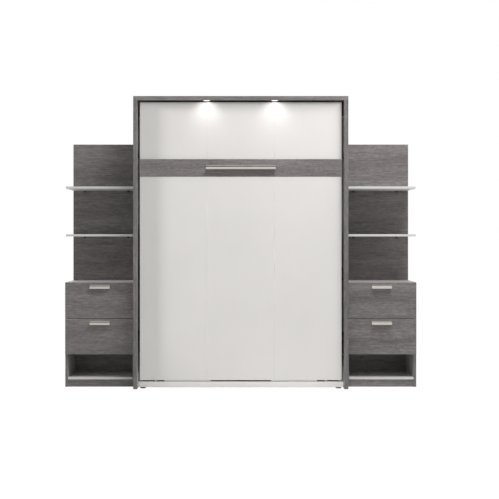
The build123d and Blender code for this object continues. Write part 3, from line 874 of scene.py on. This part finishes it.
def makeSupports():  # two pegs under each shelf, out of the board behind it
    look = supportLook
    bm = bmesh.new()
    radius = look["peg"][1][0]
    for side in ("left", "right"):
        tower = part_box("unit_" + side + "_tower")
        centre = (tower[0].x + tower[1].x) / 2
        for level in ("lower", "upper"):
            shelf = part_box("unit_" + side + "_shelf_" + level)
            for way in (-1, 1):
                at = Vector((centre + way * look["spacing"] / 2, tower[0].y, shelf[0].z - radius))
                addPart(bm, turned(look["peg"]), Matrix.Translation(at) @ towardFront)
    piece = smoothed(withBmesh("support_pegs", bm, finishes["support"], "cabinet"), 30)
    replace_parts(piece, "shelf_supports")


makePucks()
makeGlides()
makeSupports()
print("pucks, glides and supports made")

runnerLook = {
    "bar": 0.0061,
    "wall": 0.0012,
    "fixedHeight": 0.045,
    "lip": 0.004,
    "fold": 0.0014,
    "screwRadius": 0.0036,
    "screwHeight": 0.0011,
    "screwShares": (0.10, 0.42, 0.90),
}


def channel(bm, low, high, side):  # a C channel along Y, open towards side, with lips turned in
    look = runnerLook
    part = bmesh.new()
    boxInto(part, low, high)
    part.normal_update()
    ends = [face for face in part.faces if abs(face.normal.y) > 0.9]
    bmesh.ops.delete(part, geom=ends, context="FACES_ONLY")
    rounded(part, edgesAlong(part.edges, 1), look["fold"], 3)
    bmesh.ops.recalc_face_normals(part, faces=part.faces[:])
    lips = (low.z + look["lip"] + look["fold"], high.z - look["lip"] - look["fold"])
    cutAt(part, 2, lips)
    facing = [face for face in part.faces if face.normal.x * side > 0.99]
    slot = [face for face in facing if lips[0] < face.calc_center_median().z < lips[1]]
    bmesh.ops.delete(part, geom=slot, context="FACES")
    bmesh.ops.solidify(part, geom=part.faces[:], thickness=look["wall"])
    addPart(bm, part)


def runnerScrews(bm, web, y, z, side):  # pan heads on the web inside a channel
    look = runnerLook
    turn = towardX if side > 0 else towardMinusX
    for share in look["screwShares"]:
        at = Vector((web + side * look["wall"], y[0] + (y[1] - y[0]) * share, z))
        addPart(bm, boltHead(look["screwRadius"], look["screwHeight"]), Matrix.Translation(at) @ turn)


def makeRunners():  # folded steel channels: one pair rides with each drawer, one stays
    look = runnerLook
    fixed = bmesh.new()
    for side in ("left", "right"):
        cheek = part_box("unit_" + side + "_niche_shelf")
        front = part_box("unit_" + side + "_sides")[0].y
        for level in ("upper", "lower"):
            name = "drawer_" + side + "_" + level
            low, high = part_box(name + "_runners")
            middle = (low.z + high.z) / 2
            length = high.y - low.y
            moving = bmesh.new()
            for way in (-1, 1):
                edge = high.x if way > 0 else low.x
                near, far = span(edge, -way * look["bar"])
                channel(moving, Vector((near, low.y, low.z)), Vector((far, high.y, high.z)), way)
                runnerScrews(moving, edge - way * look["bar"], (low.y, high.y), middle, way)
                wall = cheek[1].x if way > 0 else cheek[0].x
                near, far = span(wall, -way * look["bar"])
                half = look["fixedHeight"] / 2
                start = Vector((near, front, middle - half))
                channel(fixed, start, Vector((far, front + length, middle + half)), -way)
                runnerScrews(fixed, wall, (front, front + length), middle, -way)
            body = side + "_" + level + "_drawer"
            piece = withBmesh(name + "_slides", moving, finishes["zinc"], body)
            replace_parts(smoothed(piece), name + "_runners")
    piece = withBmesh("fixed_slides", fixed, finishes["zinc"], "cabinet")
    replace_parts(smoothed(piece), "runner_rails")


makeRunners()
print("runners made")

strutLook = {
    "eyeRadius": 0.009,
    "crimpFromEye": 0.018,
    "nutFromEye": 0.001,
    "seal": [
        (0.0043, -0.0035), (0.0058, -0.0035), (0.0066, -0.0022), (0.0070, -0.0004), (0.0092, 0.0002),
        (0.0096, 0.0012), (0.0096, 0.0072), (0.0093, 0.0080), (0.0088, 0.0082),
    ],
    "crimp": [
        (0.0088, 0.0), (0.0093, 0.0004), (0.0093, 0.0026), (0.0088, 0.0032), (0.0088, 0.0052),
        (0.0093, 0.0058), (0.0093, 0.0080), (0.0088, 0.0084),
    ],
    "nut": [
        (0.0038, 0.0), (0.0062, 0.0), (0.0066, 0.0006), (0.0066, 0.0046), (0.0060, 0.0054),
        (0.0038, 0.0054),
    ],
    "wire": 0.0005,
    "wireSides": 8,
    "clipRadius": 0.0093,
    "clipShift": 0.0022,
}


def wireRing(radius, wire, sides):  # a closed ring of round wire
    loop = [(radius + wire * cos(tau * n / sides), wire * sin(tau * n / sides)) for n in range(sides + 1)]
    return turned(loop, 32)


def makeStrutEnds(side):  # rod seal and crimp on the tube, nut on the rod, wire clips on both eyes
    look = strutLook
    anchorLow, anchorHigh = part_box("strut_anchors")
    tubeLow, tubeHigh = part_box("strut_cylinder_" + side)
    rodLow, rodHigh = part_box("strut_rod_" + side)
    x = (tubeLow.x + tubeHigh.x) / 2
    top = Vector((x, (anchorLow.y + anchorHigh.y) / 2, (anchorLow.z + anchorHigh.z) / 2))
    lug = Vector((x, rodHigh.y - look["eyeRadius"], rodLow.z + look["eyeRadius"]))
    way = (top - lug).normalized()
    turn = way.to_track_quat("Z", "Y").to_matrix().to_4x4()
    tubeEnd = top - way * (top.z - tubeLow.z) / way.z
    tubeTop = top - way * (look["eyeRadius"] + look["crimpFromEye"])
    upper = bmesh.new()
    addPart(upper, turned(look["seal"]), Matrix.Translation(tubeEnd) @ turn)
    addPart(upper, turned(look["crimp"]), Matrix.Translation(tubeTop) @ turn)
    body = side + "_strut_cylinder"
    smoothed(withBmesh("strut_seal_" + side, upper, finishes["plastic"], body), 50)
    nut = bmesh.new()
    at = Matrix.Translation(lug + way * (look["eyeRadius"] + look["nutFromEye"]))
    addPart(nut, turned(look["nut"], 6), at @ turn)
    smoothed(withBmesh("strut_nut_" + side, nut, finishes["zinc"], side + "_strut_rod"), 20)
    for end, centre, level in (("cylinder", top, "upper"), ("rod", lug, "lower")):
        clip = bmesh.new()
        for shift in (-look["clipShift"], look["clipShift"]):
            ring = wireRing(look["clipRadius"], look["wire"], look["wireSides"])
            addPart(clip, ring, Matrix.Translation(centre + Vector((shift, 0, 0))) @ towardX)
        name = "strut_clip_" + level + "_" + side
        body = side + "_strut_" + end
        smoothed(withBmesh(name, clip, finishes["zinc"], body), 60)


legLook = {
    "boot": 0.0008,
    "bootHeight": 0.0125,
    "bootCorner": 0.002,
    "ridges": (0.004, 0.007, 0.010),
    "ridgeProud": 0.00136,
    "ridgeHeight": 0.0012,
}


def makeLegBoot(side):  # a ribbed rubber boot round the foot of the leg
    look = legLook
    low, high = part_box("leg_" + side)
    bm = bmesh.new()
    wrap = Vector((look["boot"], look["boot"], 0))
    verts = boxInto(bm, low - wrap, Vector((high.x, high.y, low.z + look["bootHeight"])) + wrap)
    rounded(bm, edgesOf(verts), look["bootCorner"], 3)
    proud = Vector((look["ridgeProud"], look["ridgeProud"], look["ridgeHeight"] / 2))
    for height in look["ridges"]:
        ridge = bmesh.new()
        start = Vector((low.x, low.y, low.z + height)) - proud
        end = Vector((high.x, high.y, low.z + height)) + proud
        rounded(ridge, edgesAlong(edgesOf(boxInto(ridge, start, end)), 2), look["bootCorner"], 3)
        addPart(bm, ridge)
    smoothed(withBmesh("leg_boot_" + side, bm, finishes["nylon"], side + "_leg"), 40)


slatLook = {
    "count": 14,
    "width": 0.075,
    "wrap": 0.0012,
    "endWrap": 0.0018,
    "depth": 0.034,
    "corner": 0.0011,
    "frontGap": 0.0002,
    "rib": 0.004,
    "ribShares": (0.2, 0.5, 0.8),
    "ribReach": 0.010,
    "ribSunk": 0.0004,
    "ribProud": 0.00096,
    "ribCorner": 0.0012,
}


def makeSlatHolders():  # moulded holders that wrap both ends of every slat
    look = slatLook
    low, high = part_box("slats")
    bm = bmesh.new()
    pitch = (high.z - low.z - look["width"]) / (look["count"] - 1)
    wrap = look["wrap"]
    for n in range(look["count"]):
        bottom = low.z + pitch * n
        for side in (-1, 1):
            outer = side * (high.x + look["endWrap"])
            inner = outer - side * look["depth"]
            near, far = span(outer, -side * look["depth"])
            holder = bmesh.new()
            start = Vector((near, low.y + look["frontGap"], bottom - wrap))
            end = Vector((far, high.y + wrap, bottom + look["width"] + wrap))
            rounded(holder, edgesOf(boxInto(holder, start, end)), look["corner"], 2)
            addPart(bm, holder)
            near, far = span(inner, -side * look["ribReach"])
            for share in look["ribShares"]:
                z = bottom + look["width"] * share
                rib = bmesh.new()
                start = Vector((near, high.y - look["ribSunk"], z - look["rib"] / 2))
                end = Vector((far, high.y + look["ribProud"], z + look["rib"] / 2))
                rounded(rib, edgesAlong(edgesOf(boxInto(rib, start, end)), 1), look["ribCorner"], 2)
                addPart(bm, rib)
    smoothed(withBmesh("slat_holders", bm, finishes["plastic"], "bed"), 40)


fixingLook = {
    "screwRadius": 0.0038,
    "screwHeight": 0.0014,
    "screwFromSide": 0.060,
    "screwFromEdge": 0.045,
    "boxBoard": 0.012,
    "capRadius": 0.0085,
    "capHeight": 0.0005,
    "capInset": 0.034,
    "railCaps": (0.030, 0.070),
    "boardCaps": (0.1, 0.5, 0.9),
}


def makeDrawerScrews(side, level):  # four screws through the box into the drawer front
    look = fixingLook
    name = "drawer_" + side + "_" + level
    low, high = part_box(name + "_box")
    bm = bmesh.new()
    for x in (low.x + look["screwFromSide"], high.x - look["screwFromSide"]):
        for z in (low.z + look["screwFromEdge"], high.z - look["screwFromEdge"]):
            at = Matrix.Translation((x, low.y + look["boxBoard"], z))
            addPart(bm, boltHead(look["screwRadius"], look["screwHeight"]), at @ towardBack)
    body = side + "_" + level + "_drawer"
    smoothed(withBmesh(name + "_screws", bm, finishes["zinc"], body), 30)


def makeCamCaps():  # round covers over the cam fittings at the ends of the boards across the back
    look = fixingLook
    radius, height = look["capRadius"], look["capHeight"]
    profile = [(radius * 0.98, -height * 0.4), (radius, height * 0.4), (radius * 0.93, height), (0, height)]
    bm = bmesh.new()
    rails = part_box("rear_rails")
    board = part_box("headboard_panel")
    places = [(rails[1].y, rails[1].z - drop) for drop in look["railCaps"]]
    places += [(rails[1].y, rails[0].z + rise) for rise in look["railCaps"]]
    places += [(board[1].y, board[0].z + (board[1].z - board[0].z) * share) for share in look["boardCaps"]]
    for y, z in places:
        for side in (-1, 1):
            at = Matrix.Translation((side * (rails[1].x - look["capInset"]), y, z))
            addPart(bm, turned(profile, 32), at @ towardBack)
    smoothed(withBmesh("cam_caps", bm, finishes["whiteBoard"], "cabinet"), 30)


for side in ("left", "right"):
    makeStrutEnds(side)
    makeLegBoot(side)
    for level in ("upper", "lower"):
        makeDrawerScrews(side, level)
makeSlatHolders()
makeCamCaps()
print("fittings made")

studio = {
    "floor": 60.0,
    "floorWhite": 0.82,
    "paintedFloorShadow": 0.16,
    "darkDepth": 0.115,
    "darkFade": 0.05,
    "shadowShare": 0.09,
    "floorGlow": 1.07,
    "shadowReach": 0.35,
    "nearShade": 0.1,
    "ambient": 0.34,
}
lamps = {
    "overhead": {"at": (1.15, -1.65, 4.5), "aim": (0.1, -0.2, 1.0), "size": (2.4, 1.3), "power": 131.0},
    "behind": {"at": (-1.8, 4.6, 3.2), "aim": (0.0, 0.2, 1.0), "size": (3.0, 2.0), "power": 60.0},
    "glint": {"at": (1.15, -1.65, 4.5), "aim": (0.1, -0.2, 1.0), "size": (2.4, 1.3), "power": 22.0},
    "faceWash": {"at": (2.8, -0.85, 4.0), "aim": (0.4, -0.23, 2.6), "size": (2.0, 0.8), "power": 311.0},
    "unitTops": {"at": (0.2, -0.6, 4.2), "aim": (0.1, 0.0, 0.7), "size": (2.0, 1.0), "power": 150.0},
}
raking = {"at": (-5.6, -0.745, 3.26), "aimHeight": 1.10, "size": (0.31, 2.4), "power": 8.7, "spread": 10.0}
lowStrip = {"at": (0.35, -2.2, 0.10), "aimHeight": 0.04, "size": (2.2, 0.12), "power": 21.5}
puck = {  # the small hot spot and the wide glow that each light throws
    "hot": {"forward": 0.026, "drop": 0.004, "power": 0.07, "cone": 140.0, "lean": 6.0, "soft": 0.010},
    "glow": {"forward": 0.125, "drop": -0.020, "power": 0.60, "cone": 92.0, "lean": 48.0, "soft": 0.015},
}
camera = {
    "beforeFront": 7.283,
    "height": 1.0687,
    "lens": 75.5,
    "shiftX": 0.0175,
    "shiftY": -0.0263,
}


def seenShare(f, share):  # a share where the camera or a mirror ray looks straight at it, else 0
    seen = f.node("LightPath", out="Is Camera Ray")
    for ray in ("Is Glossy Ray", "Is Transmission Ray"):
        seen = seen.math("MAXIMUM", f.node("LightPath", out=ray))
    return seen * share


def makeWorld():  # soft light all round, seen as plain white
    world = bpy.data.worlds.new("studio")
    scene.world = world
    world.use_nodes = True
    f = Finish("studio", world.node_tree)
    pure = colour(1, 1, 1)
    sky = [f.node("Background", {}, {"Color": pure, "Strength": s}) for s in (studio["ambient"], 1.0)]
    f.output(f.node("MixShader", {}, {0: seenShare(f, 1.0), 1: sky[0], 2: sky[1]}), "World")


def floorFinish():  # white all round, with a painted shadow on the ground inside the cabinet
    f = Finish("floorWhite")
    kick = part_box("kick_panel")
    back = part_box("rear_rails")[0].y
    low = Vector((kick[0].x, back - studio["darkDepth"], 0))
    high = Vector((kick[1].x, back, 0))
    middle = (low + high) / 2
    reach = (high - low) / 2
    away = abs(f.axis("X") - middle.x) - reach.x
    away = away.math("MAXIMUM", abs(f.axis("Y") - middle.y) - reach.y)
    # painted shadow: a dark patch on the ground inside the cabinet, fading out at its rim
    inside = away.clip(studio["darkFade"], 0.0)
    lit = away.clip(0.0, studio["shadowReach"])
    dark, pale = (colour(*[studio[key]] * 3) for key in ("paintedFloorShadow", "floorWhite"))
    matt = f.node("BsdfDiffuse", {}, {"Color": f.blend(inside, pale, dark)})
    glow = f.node("Emission", {}, {"Strength": studio["floorGlow"]})
    far = lit * studio["nearShade"] + (1 - studio["nearShade"])
    share = seenShare(f, 1 - studio["shadowShare"]) * far * (1 - inside)
    return f.output(f.node("MixShader", {}, {0: share, 1: matt, 2: glow}))


def makeFloor():
    bm = bmesh.new()
    bmesh.ops.create_grid(bm, x_segments=1, y_segments=1, size=studio["floor"] / 2)
    floor = linked("floor", bm, floorFinish())


flags = {"behindFace": 0.15, "behindTop": 0.10, "thin": 0.002, "low": 0.06, "overlap": 0.03}


def makeFlags():  # unseen cards that keep light from behind out of the gap round the face
    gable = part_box("gable_right")[0].x
    low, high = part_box("face_panel_left")[0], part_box("face_panel_right")[1]
    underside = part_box("top_panel")[0].z
    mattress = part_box("mattress")[1].x
    bm = bmesh.new()
    y = low.y + flags["behindFace"]
    for side in (-1, 1):
        near, far = sorted((side * mattress, side * gable))
        boxInto(bm, Vector((near, y, flags["low"])), Vector((far, y + flags["thin"], underside)))
    y = low.y + flags["behindTop"]
    start = Vector((-gable, y, high.z - flags["overlap"]))
    boxInto(bm, start, Vector((gable, y + flags["thin"], underside)))
    f = Finish("flagBlack")
    black = f.output(f.node("BsdfDiffuse", {}, {"Color": colour(0.01, 0.01, 0.01)}))
    card = linked("flags", bm, black)
    card.visible_camera = card.visible_glossy = card.visible_transmission = False


def aimed(thing, at, aim):  # a lamp or camera put in place and turned towards a point
    thing.location = at
    thing.rotation_euler = (Vector(aim) - Vector(at)).to_track_quat("-Z", "Y").to_euler()


def addLamp(name, kind, power, at, aim):
    data = bpy.data.lights.new(name, kind)
    data.energy = power
    light = bpy.data.objects.new(name, data)
    scene.collection.objects.link(light)
    aimed(light, at, aim)
    return light


def softbox(name, lamp, aim):  # a rectangular soft light
    light = addLamp(name, "AREA", lamp["power"], lamp["at"], aim)
    light.data.shape = "RECTANGLE"
    light.data.size, light.data.size_y = lamp["size"]
    return light


def lightOnly(light, receivers, blockers):  # only these pieces catch it, and only those shade it
    for use, pieces in (("receiver", receivers), ("blocker", blockers)):
        if pieces is None:
            continue
        group = bpy.data.collections.new(light.name + "_" + use)
        for piece in pieces:
            group.objects.link(nodes[piece] if isinstance(piece, str) else piece)
        setattr(light.light_linking, use + "_collection", group)


facePanels = ["face_panel_left", "face_panel_middle", "face_panel_right"]


def makeLamps():  # the white face has lamps of its own, so that wood and white keep their levels
    faces = [nodes[name] for name in facePanels]
    shaded = faces + [nodes["drawer_right_upper_pull"], nodes["drawer_right_lower_pull"]]
    others = [o for o in scene.objects if o.type == "MESH" and o not in shaded]
    light = softbox("overhead", lamps["overhead"], lamps["overhead"]["aim"])
    lightOnly(light, others, None)
    softbox("behind", lamps["behind"], lamps["behind"]["aim"])
    lamp = lamps["glint"]
    lightOnly(softbox("glint", lamp, lamp["aim"]), shaded[len(faces):], None)
    lamp = lamps["faceWash"]
    lightOnly(softbox("faceWash", lamp, lamp["aim"]), faces, ["top_panel", "gable_left", "gable_right"])
    light = softbox("raking", raking, (0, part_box("face_panel_left")[0].y, raking["aimHeight"]))
    light.data.spread = radians(raking["spread"])
    lightOnly(light, faces, ["gable_left", "top_panel"])
    light = softbox("lowStrip", lowStrip, (0, 0, lowStrip["aimHeight"]))
    lightOnly(light, ["kick_panel", "bed_frame"], ["kick_panel"] + facePanels)
    lamp = lamps["unitTops"]
    light = softbox("unitTops", lamp, lamp["aim"])
    lightOnly(light, ["unit_left_top", "unit_right_top"], ["kick_panel"])


def makePuckLight():  # each puck throws a scallop down the face: a hot start and a wide glow
    low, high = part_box("led_lenses")
    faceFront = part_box("face_panel_left")[0].y
    gap = (high.x - low.x) - (high.y - low.y)
    for side in (-1, 1):
        for name, lamp in puck.items():
            at = Vector((side * gap / 2, faceFront - lamp["forward"], low.z - lamp["drop"]))
            lean = radians(lamp["lean"])
            aim = at + Vector((0, sin(lean), -cos(lean)))
            light = addLamp("puck_" + name, "SPOT", lamp["power"], at, aim)
            light.data.spot_size = radians(lamp["cone"])
            light.data.spot_blend = 1.0
            light.data.shadow_soft_size = lamp["soft"]
            lightOnly(light, facePanels, ["top_panel"])


def makeCamera():
    data = bpy.data.cameras.new("camera")
    data.sensor_width = 36
    data.lens = camera["lens"]
    data.shift_x = camera["shiftX"]
    data.shift_y = camera["shiftY"]
    data.clip_end = 200
    cam = bpy.data.objects.new("camera", data)
    scene.collection.objects.link(cam)
    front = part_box("gable_left")[0].y
    at = Vector((0, front - camera["beforeFront"], camera["height"]))
    aimed(cam, at, at + Vector((0, 1, 0)))
    scene.camera = cam


makeWorld()
makeFloor()
makeFlags()
makeLamps()
makePuckLight()
makeCamera()
print("studio ready")
